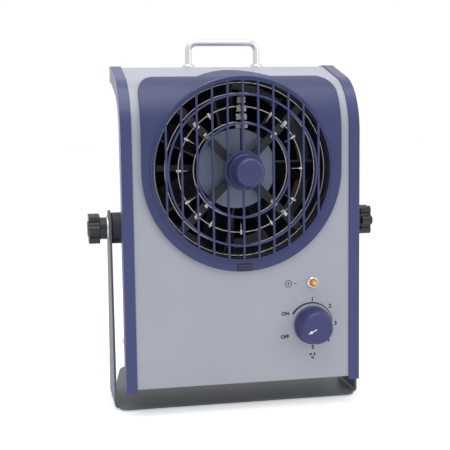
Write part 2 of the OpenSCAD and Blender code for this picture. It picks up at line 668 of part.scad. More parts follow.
// ---------- tilt pivot ----------
module at_pivot() { in_head() translate([0, pivot_back, pivot_up]) rotate([0, 90, 0]) children(); }
module pivot_spacers() color([0.2, 0.22, 0.24]) both_sides() at_pivot() translate([0, 0, wall_x + side_t])
    difference() {
        length = arm_x - face_gap - wall_x - side_t;
        rotate_extrude() polygon([[0, 0], [spacer_r, 0], [spacer_r, length - 1], [spacer_r - 1, length], [0, length]]);
        translate([0, 0, -eps]) cylinder(r = stud_bore_r, h = length + 2 * eps);
    }
module pivot_nuts() color([0.7, 0.7, 0.7]) both_sides() at_pivot() translate([0, 0, wall_x - nut_l]) difference() {
    cylinder(r = 9, h = nut_l, $fn = 6);
    translate([0, 0, -eps]) cylinder(r = stud_r + run_gap, h = nut_l + 2 * eps);
}
module clamp_knob() at_pivot() difference() {
    lobe_r = 4.2;
    lobes = 6;
    union() {
        translate([0, 0, clamp_x]) cylinder(r = clamp_neck_r, h = clamp_neck_l + 1);
        translate([0, 0, clamp_x + clamp_neck_l]) linear_extrude(clamp_head_t) {
            circle(clamp_r - lobe_r);
            for (i = [0 : lobes - 1]) rotate(i * 360 / lobes + 30) translate([clamp_r - lobe_r, 0]) circle(lobe_r);
        }
        translate([0, 0, clamp_x + clamp_neck_l + clamp_head_t]) cylinder(r1 = 8, r2 = 7, h = 1);
    }
    translate([0, 0, clamp_x - eps]) cylinder(r = stud_r, h = clamp_neck_l + clamp_head_t / 2 + eps);
}
module clamp_stud() at_pivot() translate([0, 0, wall_x - nut_l - 1])
    cylinder(r = stud_r, h = clamp_x + clamp_neck_l + clamp_head_t / 2 - wall_x + nut_l + 1);
module clamp_washer() at_pivot() translate([0, 0, washer_x]) difference() {
    cylinder(r = clamp_neck_r + 1, h = washer_t);
    translate([0, 0, -eps]) cylinder(r = stud_r, h = washer_t + 2 * eps);
}
module left_clamp_knob() color([0.1, 0.1, 0.11]) mirror([1, 0, 0]) clamp_knob();
module right_clamp_knob() color([0.1, 0.1, 0.11]) clamp_knob();
module left_clamp_stud() color([0.75, 0.75, 0.75]) mirror([1, 0, 0]) clamp_stud();
module right_clamp_stud() color([0.75, 0.75, 0.75]) clamp_stud();
module left_clamp_washer() color([0.75, 0.75, 0.75]) mirror([1, 0, 0]) clamp_washer();
module right_clamp_washer() color([0.75, 0.75, 0.75]) clamp_washer();

// ---------- electrics ----------
module high_voltage_module() color([0.1, 0.1, 0.12]) in_head() {
    box([0.6 * bay, 6.2 * bay], [0.41 * head_depth, 0.84 * head_depth], [sheet_t, 3.2 * bay]);
    translate([2 * bay, 0.62 * head_depth, 3.2 * bay]) cylinder(r = 0.4 * bay, h = 0.7 * bay);
}
module mains_transformer() color([0.35, 0.35, 0.38]) in_head() {
    box([-3.4 * bay, -0.2 * bay], [0.35 * head_depth, 0.73 * head_depth], [sheet_t, 3.4 * bay]);
    box([-3.8 * bay, 0.2 * bay], [0.45 * head_depth, 0.63 * head_depth], [0.8 * bay, 2.9 * bay]);
}
board_z = 0.8 * bay;
board_x = [-9.4 * bay, -4.3 * bay];
board_y = [0.2 * head_depth, 0.755 * head_depth];
board_top = board_z + 1.6;
module control_board() color([0.1, 0.35, 0.2]) in_head() {
    box(board_x, board_y, [board_z, board_top]);
    for (i = [0 : 2]) translate([board_x[0] + (1 + i * 1.5) * bay, 0.35 * head_depth, board_top])
        cylinder(r = 0.5 * bay, h = 1.8 * bay);
    box([board_x[0] + 0.4 * bay, board_x[0] + 2.2 * bay], [0.53 * head_depth, 0.7 * head_depth],
        [board_top, board_top + 1.3 * bay]);
    box([board_x[1] - 2.4 * bay, board_x[1] - 0.8 * bay], [0.51 * head_depth, 0.61 * head_depth],
        [board_top, board_top + 0.8 * bay]);
}
module board_standoffs() color([0.8, 0.8, 0.8]) in_head()
    for (x = [board_x[0] + 5, board_x[1] - 5], y = [board_y[0] + 5, board_y[1] - 5])
        translate([x, y, sheet_t]) cylinder(r = 3, h = board_z - sheet_t);
socket_deep = 18;
module power_inlet() color([0.08, 0.08, 0.09]) in_head() translate([socket_x, head_depth, socket_z]) difference() {
    union() {
        box([-25, 25], [0, 3], [-13, 13]);
        box([-socket_w / 2 + slide_gap, socket_w / 2 - slide_gap], [-socket_deep, 0.5],
            [-socket_h / 2 + slide_gap, socket_h / 2 - slide_gap]);
    }
    box([-socket_w / 2 + 2, socket_w / 2 - 2], [-socket_deep + 2, 3 + eps], [-socket_h / 2 + 2, socket_h / 2 - 2]);
    for (s = [-1, 1]) translate([s * 20, 0, 0]) disc(1.7, -eps, 3 + eps);
}
module inlet_pins() color([0.85, 0.75, 0.4]) in_head() translate([socket_x, head_depth, socket_z])
    for (p = [[-7, -2], [0, 2], [7, -2]]) translate([p[0], -socket_deep + 2, p[1]])
        box([-1, 1], [0, 12], [-2, 2]);
module inlet_screws() color([0.75, 0.75, 0.75]) in_head() for (s = [-1, 1])
    translate([socket_x + s * 20, head_depth + 3, socket_z]) mirror([0, 1, 0]) {
        disc(2.8, -1.6, 0);
        disc(1.5, 0, 8);
    }
module earth_stud() color([0.85, 0.75, 0.4]) in_head() translate([earth_x, 0, earth_z]) disc(earth_r, rear_y - 4, head_depth + 12);
module earth_nut() color([0.85, 0.75, 0.4]) in_head() translate([earth_x, 0, earth_z]) difference() {
    along_y(head_depth, head_depth + 3) circle(4.2, $fn = 6);
    disc(earth_r, head_depth - eps, head_depth + 4);
}

stand_bracket();
base_pad();
front_panel();
rear_cover();
left_side_panel();
right_side_panel();
grille_bezel();
outlet_grille();
grille_latch();
air_duct();
emitter_frame();
guard_rings();
emitter_ring();
needle_sockets();
emitter_needles();
wire_clips();
knob_collar();
cleaner_knob();
cleaner_shaft();
brush_arm();
brush_tufts();
fan_frame();
fan_rotor();
hub_cap();
motor_shaft();
fan_motor();
motor_bearings();
fan_screws();
fan_standoffs();
rear_guard();
inlet_filter();
guard_screws();
speed_switch();
switch_nut();
dial_shaft();
dial_knob();
dial_pointer();
lamp_bezel();
lamp_lens();
carry_handle();
handle_ferrules();
handle_nuts();
pivot_spacers();
pivot_nuts();
left_clamp_knob();
right_clamp_knob();
left_clamp_stud();
right_clamp_stud();
left_clamp_washer();
right_clamp_washer();
side_screws();
high_voltage_module();
mains_transformer();
control_board();
board_standoffs();
power_inlet();
inlet_pins();
inlet_screws();
earth_stud();
earth_nut();
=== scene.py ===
"""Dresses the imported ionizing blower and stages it.

Enamel, moulded plastics, plating and wire get procedural finishes. The dial's printed scale and the
cleaning brush's bristles are added as pieces of their own. All lengths are in
metres, in the blower's own frame: +X to the right of the outlet, the outlet faces -Y, +Z is up.
"""

from math import cos, pi, radians, sin

import bpy
import numpy as np
from bpy.props import FloatProperty, FloatVectorProperty, IntProperty, PointerProperty
from mathutils import Matrix, Vector


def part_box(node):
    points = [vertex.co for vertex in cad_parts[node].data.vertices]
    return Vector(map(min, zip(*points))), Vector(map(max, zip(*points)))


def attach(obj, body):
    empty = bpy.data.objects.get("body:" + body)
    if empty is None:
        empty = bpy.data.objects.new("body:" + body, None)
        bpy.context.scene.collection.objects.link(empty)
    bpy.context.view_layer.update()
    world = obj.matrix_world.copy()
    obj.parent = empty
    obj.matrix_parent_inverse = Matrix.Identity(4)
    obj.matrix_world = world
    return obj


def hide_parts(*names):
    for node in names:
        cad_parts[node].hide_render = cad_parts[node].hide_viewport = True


bl_info = {
    "name": "Ionizing blower",
    "version": (1, 0, 0),
    "blender": (4, 5, 0),
    "location": "View3D > Sidebar > Blower",
    "description": "Finishes and stages a bench ionizing blower",
    "category": "Object",
}

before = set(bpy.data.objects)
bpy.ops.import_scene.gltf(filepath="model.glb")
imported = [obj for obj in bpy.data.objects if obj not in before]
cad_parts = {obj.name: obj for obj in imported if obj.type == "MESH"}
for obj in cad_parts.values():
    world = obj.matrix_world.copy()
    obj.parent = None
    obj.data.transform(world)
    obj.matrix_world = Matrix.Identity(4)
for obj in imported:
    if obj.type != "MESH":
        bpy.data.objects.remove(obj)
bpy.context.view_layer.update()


# ---------- places and sizes: some read from the solids, the rest given ---

def middle(node):
    """Centre of a node's box, as an array."""
    low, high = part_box(node)
    return (np.array(low) + np.array(high)) / 2


PANEL_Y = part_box("front_panel")[0].y
FAN_AXIS = middle("emitter_ring")[[0, 2]]
DIAL = middle("dial_shaft")[[0, 2]]
LAMP = middle("lamp_lens")[[0, 2]]
TUFTS = 4            # tufts along the cleaning brush
TUFT_GAP = 0.0012    # bare core between two tufts
TUFT_NARROWING = 0.0006          # how much each tuft is narrower than the last, on each side
FIGURES = {"1": (-0.2, 24.2), "2": (16.9, 17.1), "3": (22.3, 0.4), "4": (15.3, -15.4),
           "5": (0.2, -21.4)}    # millimetres right of and above the dial's middle
WORDS = {"ON": (-26.2, 11.8), "OFF": (-26.6, -10.0)}
FLOOR_REACH = 6.0                # from the middle of the floor to its edges
FLOOR_GLOW = 0.46                # light of its own that the floor adds in the camera's eye
CAMERA_PLACE = (-0.18896, -0.98473, 0.28219)
CAMERA_TURN = (11.004, 6.803, -0.759)    # yaw, pitch and roll, in degrees


# ---------- settings ----------

class PaintSettings(bpy.types.PropertyGroup):
    """Colours of the sheet metal and how worn it is."""

    panel: FloatVectorProperty(name="Panel", description="Enamel of the front, top and rear",
                               subtype="COLOR", size=3, default=(0.41, 0.425, 0.48))
    trim: FloatVectorProperty(name="Trim", description="Enamel of the side panels",
                              subtype="COLOR", size=3, default=(0.031, 0.040, 0.158))
    stand: FloatVectorProperty(name="Stand", description="Powder coat of the stand",
                               subtype="COLOR", size=3, default=(0.100, 0.125, 0.138))
    orange_peel: FloatProperty(name="Orange peel", description="Height of the enamel's ripple",
                               default=0.00004, unit="LENGTH")
    edge_wear: FloatProperty(name="Edge wear", description="Share of bare primer showing on sharp edges",
                             subtype="FACTOR", min=0, max=1, default=0.22)


class PlasticSettings(bpy.types.PropertyGroup):
    """Colours of the moulded parts."""

    bezel: FloatVectorProperty(name="Bezel", description="Bezel and grille", subtype="COLOR", size=3,
                               default=(0.027, 0.038, 0.130))
    knob: FloatVectorProperty(name="Knobs", description="Dial and cleaner knob", subtype="COLOR", size=3,
                              default=(0.034, 0.036, 0.145))
    black: FloatVectorProperty(name="Black parts", description="Duct, fan and star knobs", subtype="COLOR",
                               size=3, default=(0.012, 0.013, 0.016))
    grain: FloatProperty(name="Grain", description="Size of the moulded texture", default=0.0005,
                         unit="LENGTH")


class PrintSettings(bpy.types.PropertyGroup):
    """The dial's printed scale."""

    ink: FloatVectorProperty(name="Ink", description="Colour of the print", subtype="COLOR", size=3,
                             default=(0.022, 0.026, 0.045))
    figure_height: FloatProperty(name="Figure height", description="Height of the numbers",
                                 default=0.0040, unit="LENGTH")
    word_height: FloatProperty(name="Word height", description="Height of ON and OFF",
                               default=0.0037, unit="LENGTH")
    scale_radius: FloatProperty(name="Scale radius", description="Mean radius of the tapering arc",
                                default=0.0213, unit="LENGTH")
    film: FloatProperty(name="Ink film", description="How far the print stands off the panel",
                        default=0.00006, unit="LENGTH")


class BrushSettings(bpy.types.PropertyGroup):
    """The cleaning brush's bristles."""

    bristles: IntProperty(name="Bristles", description="Bristles in each tuft", min=20, max=400, default=220)
    thickness: FloatProperty(name="Bristle thickness", description="Diameter of one bristle",
                             default=0.00055, unit="LENGTH")


class StudioSettings(bpy.types.PropertyGroup):
    """Camera, lamps and floor."""

    focal: FloatProperty(name="Focal length", description="Camera lens, in millimetres", default=80.0)
    key_power: FloatProperty(name="Overhead lamp", description="Power of the large lamp above", default=13.0,
                             unit="POWER")
    fill_power: FloatProperty(name="Side lamp", description="Power of the lamp on the right", default=7.0,
                              unit="POWER")
    sky: FloatProperty(name="Sky", description="Strength of the even light all round", default=0.62)


# ---------- shader building ----------

class Number:
    """A socket that takes part in sums: every operator adds its Math node to the finish."""

    def __init__(self, finish, socket):
        self.finish = finish
        self.socket = socket

    def _math(self, operation, first, second=0.0):
        return self.finish.add("ShaderNodeMath", {"operation": operation}, {0: first, 1: second})

    def __add__(self, other):
        return self._math("ADD", self, other)

    def __sub__(self, other):
        return self._math("SUBTRACT", self, other)

    def __mul__(self, other):
        return self._math("MULTIPLY", self, other)

    def __truediv__(self, other):
        return self._math("DIVIDE", self, other)

    def __pow__(self, other):
        return self._math("POWER", self, other)

    def __radd__(self, other):
        return self._math("ADD", other, self)

    def __rsub__(self, other):
        return self._math("SUBTRACT", other, self)

    def __rmul__(self, other):
        return self._math("MULTIPLY", other, self)

    def __rtruediv__(self, other):
        return self._math("DIVIDE", other, self)

    def __gt__(self, other):
        return self._math("GREATER_THAN", self, other)

    def sine(self):
        return self._math("SINE", self)

    def between(self, low, high):
        """Rises from 0 at low to 1 at high and stays there."""
        return self.finish.add("ShaderNodeMapRange", {"interpolation_type": "SMOOTHSTEP"},
                               {"Value": self, "From Min": low, "From Max": high})


class Finish:
    """One procedural material round a Principled surface, made for the nodes or pieces it is put on."""

    def __init__(self, name, roughness=0.5, metallic=0.0, **constants):
        self.material = bpy.data.materials.new(name)
        self.material.use_nodes = True
        self.tree = self.material.node_tree
        self.surface = self.tree.nodes["Principled BSDF"]
        self.set(Roughness=roughness, Metallic=metallic)
        for socket, value in constants.items():
            self.surface.inputs[socket.replace("_", " ")].default_value = value

    def add(self, kind, settings=None, inputs=None, output=0):
        """Adds a node: its settings first, then each input's value or link; gives back one output."""
        node = self.tree.nodes.new(kind)
        for name, value in (settings or {}).items():
            if name == "stops":
                self._stops(node.color_ramp, value)
            else:
                setattr(node, name, value)
        for name, value in (inputs or {}).items():
            socket = node.inputs[name]
            if isinstance(value, Number):
                self.tree.links.new(value.socket, socket)
            else:
                socket.default_value = value
        return Number(self, node.outputs[output])

    @staticmethod
    def _stops(ramp, stops):
        while len(ramp.elements) < len(stops):
            ramp.elements.new(0.5)
        for element, (position, colour) in zip(ramp.elements, stops):
            element.position = position
            element.color = colour

    def set(self, **sockets):
        """Sets or links sockets of the Principled surface; underscores stand for spaces."""
        for name, value in sockets.items():
            socket = self.surface.inputs[name.replace("_", " ")]
            if isinstance(value, Number):
                self.tree.links.new(value.socket, socket)
            else:
                socket.default_value = value
        return self

    def place(self, centre=(0, 0, 0), stretch=(1, 1, 1)):
        """Object coordinates moved so that centre is the origin, then stretched on each axis."""
        coordinates = self.add("ShaderNodeTexCoord", output="Object")
        moved = self.add("ShaderNodeVectorMath", {"operation": "SUBTRACT"},
                         {0: coordinates, 1: tuple(centre)})
        return self.add("ShaderNodeVectorMath", {"operation": "MULTIPLY"}, {0: moved, 1: tuple(stretch)})

    def noise(self, size, detail=2.0, where=None, rough=0.5):
        """Even 0 to 1 noise whose features are about size metres across."""
        return self.add("ShaderNodeTexNoise", {"noise_dimensions": "3D"},
                        {"Vector": where or self.place(), "Scale": 1.0 / size, "Detail": detail,
                         "Roughness": rough}, output="Fac")

    def mix(self, amount, first, second):
        """Blends two colours, given as triples or sockets, by a 0 to 1 amount."""
        colours = {6: first, 7: second}
        inputs = {key: value if isinstance(value, Number) else (*value[:3], 1.0)
                  for key, value in colours.items()}
        return self.add("ShaderNodeMix", {"data_type": "RGBA"}, {0: amount, **inputs}, output=2)

    def parts(self, where):
        """Splits a place into its three lengths."""
        node = self.tree.nodes.new("ShaderNodeSeparateXYZ")
        self.tree.links.new(where.socket, node.inputs[0])
        return [Number(self, output) for output in node.outputs]

    def rounded(self, radius):
        """The surface's normal with its sharp edges rounded off to a radius."""
        return self.add("ShaderNodeBevel", {"samples": 4}, {"Radius": radius})

    def edges(self, radius):
        """1 on sharp edges and 0 on flats: how far the rounded normal turns from the true one."""
        geometry = self.tree.nodes.new("ShaderNodeNewGeometry")
        agree = self.add("ShaderNodeVectorMath", {"operation": "DOT_PRODUCT"},
                         {0: self.rounded(radius), 1: Number(self, geometry.outputs["Normal"])},
                         output="Value")
        return (1.0 - agree).between(0.02, 0.30)

    def relief(self, height, depth, edge=None):
        """A bump of the given depth in metres, over edges rounded to a radius."""
        inputs = {"Height": height, "Distance": depth, "Strength": 1.0}
        if edge:
            inputs["Normal"] = self.rounded(edge)
        self.set(Normal=self.add("ShaderNodeBump", inputs=inputs))
        return self

    def shade(self, colour, noise, spread):
        """A colour that drifts lighter and darker by spread where the noise is high and low."""
        dark = tuple(channel * (1 - spread) for channel in colour)
        light = tuple(min(1.0, channel * (1 + spread)) for channel in colour)
        return self.mix(noise.between(0.25, 0.75), dark, light)


def wear(finish, *nodes):
    """Gives each CAD node named one finish, in place of what it had."""
    for name in nodes:
        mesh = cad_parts[name].data
        mesh.materials.clear()
        mesh.materials.append(finish.material)


# ---------- mesh building ----------

def mesh_piece(name, points, faces, finish, body):
    """Makes a piece from arrays of points and faces, and lets it ride on a body."""
    mesh = bpy.data.meshes.new(name)
    mesh.from_pydata(points.reshape(-1, 3).tolist(), [], faces.tolist())
    mesh.validate()
    mesh.materials.append(finish.material)
    piece = bpy.data.objects.new(name, mesh)
    bpy.context.scene.collection.objects.link(piece)
    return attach(piece, body)


def skin(rows, columns, wrap=False):
    """Quads over a grid of points numbered row by row; wrap joins the last column to the first."""
    last = columns if wrap else columns - 1
    row, column = np.meshgrid(np.arange(rows - 1), np.arange(last), indexing="ij")
    beside = (column + 1) % columns
    quads = [row * columns + column, row * columns + beside, (row + 1) * columns + beside,
             (row + 1) * columns + column]
    return np.stack(quads, axis=-1).reshape(-1, 4)


# ---------- sheet metal ----------

class BLOWER_OT_enamel(bpy.types.Operator):
    """Enamels the grey front and rear and the blue side panels"""

    bl_idname = "blower.enamel"
    bl_label = "Enamel the housing"

    def enamel(self, name, colour, roughness, settings):
        """Sprayed enamel: a slow drift of tone, a fine orange peel, and rubbed edges."""
        paint = Finish(name, roughness=roughness, Coat_Weight=0.25, Coat_Roughness=0.18)
        drift = paint.noise(0.09, detail=3)
        peel = paint.noise(0.0016, detail=1)
        rub = paint.noise(0.006, detail=4)
        rubbed = paint.edges(0.0009) * rub.between(0.45, 0.7) * settings.edge_wear
        tone = paint.shade(colour, drift, 0.03)
        primer = tuple(0.55 * channel + 0.25 for channel in colour)
        paint.set(Base_Color=paint.mix(rubbed, tone, primer), Roughness=roughness - 0.05 + drift * 0.10)
        return paint.relief(peel, settings.orange_peel, edge=0.0009)

    def execute(self, context):
        settings = context.scene.blower_paint
        wear(self.enamel("grey_enamel", settings.panel, 0.42, settings), "front_panel", "rear_cover")
        wear(self.enamel("blue_enamel", settings.trim, 0.38, settings), "left_side_panel", "right_side_panel")
        return {"FINISHED"}


class BLOWER_OT_powder_coat(bpy.types.Operator):
    """Powder coats the stand and the pivot spacers, and moulds the rubber pad"""

    bl_idname = "blower.powder_coat"
    bl_label = "Powder coat the stand"

    def execute(self, context):
        settings = context.scene.blower_paint
        coat = Finish("stand_powder_coat", roughness=0.48)
        texture = coat.noise(0.0011, detail=3)
        drift = coat.noise(0.06, detail=2)
        tone = coat.shade(settings.stand, drift, 0.06)
        # Painted highlight: every sharp edge of the stand is blended towards a lighter colour, standing in
        # for light catching the edges.
        edge = coat.edges(0.0008)
        light = tuple(1.5 * channel + 0.03 for channel in settings.stand)
        coat.set(Base_Color=coat.mix(edge * 0.7, tone, light), Roughness=0.42 + texture * 0.14)
        coat.relief(texture, 0.00009, edge=0.0008)
        wear(coat, "stand_bracket")

        spacer = Finish("spacer_coat", roughness=0.5)
        grain = spacer.noise(0.0009, detail=2)
        spacer.set(Base_Color=spacer.shade((0.035, 0.042, 0.048), grain, 0.2), Roughness=0.45 + grain * 0.12)
        spacer.relief(grain, 0.00006, edge=0.0006)
        wear(spacer, "pivot_spacers")

        rubber = Finish("pad_rubber", roughness=0.85)
        dust = rubber.noise(0.004, detail=4)
        rubber.set(Base_Color=rubber.mix(dust.between(0.5, 0.8) * 0.4, (0.012, 0.012, 0.012),
                                         (0.07, 0.068, 0.065)))
        rubber.relief(rubber.noise(0.0006), 0.00005)
        wear(rubber, "base_pad")
        return {"FINISHED"}


# ---------- plastics ----------

class BLOWER_OT_mould(bpy.types.Operator):
    """Gives the moulded plastic parts their colours and grain"""

    bl_idname = "blower.mould"
    bl_label = "Mould the plastics"

    def plastic(self, name, colour, roughness, grain, edge=0.0005, dust=0.0):
        """Moulded plastic: spark-eroded grain, a slow drift of tone, and dust on upward faces."""
        resin = Finish(name, roughness=roughness)
        texture = resin.noise(grain, detail=2)
        drift = resin.noise(0.03, detail=2)
        tone = resin.shade(colour, drift, 0.07)
        if dust:
            normal = resin.tree.nodes.new("ShaderNodeNewGeometry").outputs["Normal"]
            upward = resin.parts(Number(resin, normal))[2]
            settled = upward.between(0.2, 1.0) * resin.noise(0.003, detail=4).between(0.35, 0.75) * dust
            tone = resin.mix(settled, tone, (0.20, 0.19, 0.175))
        resin.set(Base_Color=tone, Roughness=roughness - 0.05 + texture * 0.10)
        return resin.relief(texture, 0.00004, edge=edge)

    def execute(self, context):
        settings = context.scene.blower_plastic
        wear(self.plastic("bezel_plastic", settings.bezel, 0.40, settings.grain, edge=0.0008), "grille_bezel")
        wear(self.plastic("grille_plastic", tuple(1.15 * c for c in settings.bezel), 0.42, settings.grain),
             "outlet_grille")
        wear(self.plastic("latch_plastic", (0.022, 0.025, 0.06), 0.45, settings.grain), "grille_latch")
        wear(self.plastic("cleaner_knob_plastic", settings.knob, 0.36, settings.grain), "cleaner_knob")
        wear(self.plastic("dial_plastic", settings.knob, 0.34, settings.grain), "dial_knob")
        wear(self.plastic("collar_plastic", (0.014, 0.014, 0.022), 0.35, settings.grain), "knob_collar")
        wear(self.plastic("duct_plastic", settings.black, 0.55, settings.grain, dust=0.5),
             "air_duct", "fan_frame", "emitter_frame")
        wear(self.plastic("rotor_plastic", settings.black, 0.45, settings.grain, dust=0.35), "fan_rotor")
        wear(self.plastic("brush_core_plastic", settings.black, 0.5, settings.grain), "brush_arm")
        wear(self.plastic("star_knob_plastic", settings.black, 0.28, settings.grain, edge=0.0012),
             "left_clamp_knob", "right_clamp_knob")
        wear(self.plastic("switch_plastic", settings.black, 0.5, settings.grain),
             "speed_switch", "power_inlet")
        self.foam()
        white = Finish("pointer_ink", roughness=0.5)
        white.set(Base_Color=white.shade((0.86, 0.86, 0.84), white.noise(0.0008), 0.05))
        wear(white, "dial_pointer")
        return {"FINISHED"}


    def foam(self):
        """Open-cell foam: Voronoi cells, darker in the middle as painted shade of each pore, with a lighter
        rim.
        """
        foam = Finish("filter_foam", roughness=0.95)
        cells = foam.add("ShaderNodeTexVoronoi", {"feature": "DISTANCE_TO_EDGE"},
                         {"Vector": foam.place(), "Scale": 700.0}, output="Distance")
        rim = 1.0 - cells.between(0.02, 0.22)
        # Painted shade: the middle of each cell is darker than its rim, standing in for shade inside the
        # pore.
        foam.set(Base_Color=foam.mix(rim, (0.002, 0.002, 0.002), (0.018, 0.018, 0.019)))
        foam.relief(rim, 0.0008)
        wear(foam, "inlet_filter")


# ---------- metals ----------

class BLOWER_OT_plate_metals(bpy.types.Operator):
    """Gives wire, plating, screws, shafts and brass their metal finishes"""

    bl_idname = "blower.plate_metals"
    bl_label = "Plate the metals"

    def metal(self, name, colour, roughness, brushed=(1, 1, 1), scratch=0.0004, tarnish=0.12, edge=0.0003,
              relief=0.00001):
        """Metal with fine scratches along one direction, and a thin tarnish in patches."""
        plate = Finish(name, roughness=roughness, metallic=1.0)
        lines = plate.noise(scratch, detail=2, where=plate.place(stretch=brushed))
        patches = plate.noise(0.008, detail=4)
        dull = tuple(0.55 * channel for channel in colour)
        plate.set(Base_Color=plate.mix(patches.between(0.45, 0.8) * tarnish, colour, dull),
                  Roughness=roughness - 0.06 + lines * 0.12 + patches.between(0.5, 0.8) * 0.06)
        return plate.relief(lines, relief, edge=edge)

    def execute(self, context):
        wear(self.metal("emitter_wire", (0.42, 0.40, 0.34), 0.24), "guard_rings", "emitter_ring")
        wear(self.metal("clip_plate", (0.50, 0.50, 0.50), 0.22), "wire_clips", "needle_sockets")
        wear(self.metal("needle_steel", (0.55, 0.55, 0.56), 0.24), "emitter_needles")
        wear(self.metal("handle_plate", (0.66, 0.67, 0.69), 0.30, scratch=0.0011, tarnish=0.08,
                        relief=0.000002), "carry_handle", "handle_ferrules")
        wear(self.metal("lamp_bezel_plate", (0.74, 0.74, 0.75), 0.22), "lamp_bezel")
        wear(self.metal("zinc_plate", (0.70, 0.71, 0.73), 0.33),
             "fan_screws", "fan_standoffs", "guard_screws", "side_screws", "switch_nut", "handle_nuts",
             "pivot_nuts", "board_standoffs", "inlet_screws", "left_clamp_washer", "right_clamp_washer")
        wear(self.metal("ground_shaft", (0.68, 0.68, 0.70), 0.28, brushed=(1, 0.05, 1)), "cleaner_shaft",
             "motor_shaft", "motor_bearings", "dial_shaft", "left_clamp_stud", "right_clamp_stud")
        wear(self.metal("contact_brass", (0.78, 0.56, 0.22), 0.30, tarnish=0.35), "inlet_pins", "earth_stud",
             "earth_nut")
        self.hub_disc()
        self.guard()
        return {"FINISHED"}

    def hub_disc(self):
        """Turned aluminium: grooves are rings about the fan axis, so the light gathers in sectors."""
        disc = Finish("turned_hub_disc", roughness=0.34, metallic=0.6)
        where = disc.place(centre=(FAN_AXIS[0], 0, FAN_AXIS[1]))
        x, _, z = disc.parts(where)
        radius = (x * x + z * z) ** 0.5
        grooves = (radius * 9000.0).sine()
        patches = disc.noise(0.01, detail=3)
        disc.set(Base_Color=disc.shade((0.19, 0.225, 0.30), patches, 0.08), Roughness=0.30 + patches * 0.12)
        disc.relief(grooves, 0.00003)
        wear(disc, "hub_cap")

    def guard(self):
        """Dip-coated black wire for the rear guard."""
        coat = Finish("guard_coat", roughness=0.38)
        runs = coat.noise(0.004, detail=3)
        coat.set(Base_Color=coat.shade((0.016, 0.016, 0.018), runs, 0.25), Roughness=0.32 + runs * 0.14)
        coat.relief(runs, 0.00008)
        wear(coat, "rear_guard")


class BLOWER_OT_fit_lamp(bpy.types.Operator):
    """Fits the amber lens"""

    bl_idname = "blower.fit_lamp"
    bl_label = "Fit the lamp lens"

    def execute(self, context):
        lens = Finish("amber_lens", roughness=0.12, Coat_Weight=0.6, Coat_Roughness=0.05, IOR=1.49,
                      Emission_Strength=0.22)
        where = lens.place(centre=(LAMP[0], 0, LAMP[1]))
        x, _, z = lens.parts(where)
        radius = (x * x + z * z) ** 0.5
        core = 1.0 - radius.between(0.0003, 0.0026)
        facets = lens.noise(0.0011, detail=1)
        lens.set(Base_Color=lens.mix(core, (0.50, 0.17, 0.02), (0.85, 0.52, 0.12)),
                 Emission_Color=lens.mix(core, (0.25, 0.07, 0.0), (0.9, 0.50, 0.12)))
        lens.relief(facets, 0.0002)
        wear(lens, "lamp_lens")
        return {"FINISHED"}


# ---------- electrics ----------

class BLOWER_OT_finish_electrics(bpy.types.Operator):
    """Finishes the motor, the transformer, the potted module and the circuit board"""

    bl_idname = "blower.finish_electrics"
    bl_label = "Finish the electrics"

    def execute(self, context):
        self.laminations()
        self.potting()
        self.board()
        return {"FINISHED"}

    def laminations(self):
        """Stacked iron sheets as fine bands across the stack, stained in patches with the brown of varnished
        windings.
        """
        stack = Finish("iron_laminations", roughness=0.45, metallic=0.6)
        _, y, z = stack.parts(stack.place())
        sheets = ((y + z * 0.3) * 9000.0).sine()
        stain = stack.noise(0.006, detail=3)
        stack.set(Base_Color=stack.mix(stain.between(0.4, 0.7), (0.20, 0.19, 0.18), (0.16, 0.075, 0.035)),
                  Roughness=0.38 + stain * 0.2)
        stack.relief(sheets, 0.00008)
        wear(stack, "fan_motor", "mains_transformer")

    def potting(self):
        """Glossy potted resin with a slightly sunken skin."""
        resin = Finish("potting_resin", roughness=0.22, Coat_Weight=0.4)
        sink = resin.noise(0.012, detail=2)
        resin.set(Base_Color=resin.shade((0.018, 0.018, 0.022), sink, 0.3), Roughness=0.16 + sink * 0.16)
        resin.relief(sink, 0.0004, edge=0.0006)
        wear(resin, "high_voltage_module")

    def board(self):
        """Solder mask over tracks: thin lines of a lighter green where two slow waves meet."""
        mask = Finish("solder_mask", roughness=0.32)
        x, y, z = mask.parts(mask.place())
        tracks = ((x * 900.0 + mask.noise(0.02) * 6.0).sine() * (y * 700.0).sine()).between(0.35, 0.45)
        above = (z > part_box("control_board")[0].z + 0.0017)
        green = mask.mix(tracks, (0.012, 0.085, 0.035), (0.03, 0.16, 0.07))
        mask.set(Base_Color=mask.mix(above, green, (0.03, 0.03, 0.035)), Roughness=0.28 + tracks * 0.15)
        mask.relief(tracks, 0.00005)
        wear(mask, "control_board")


# ---------- print ----------

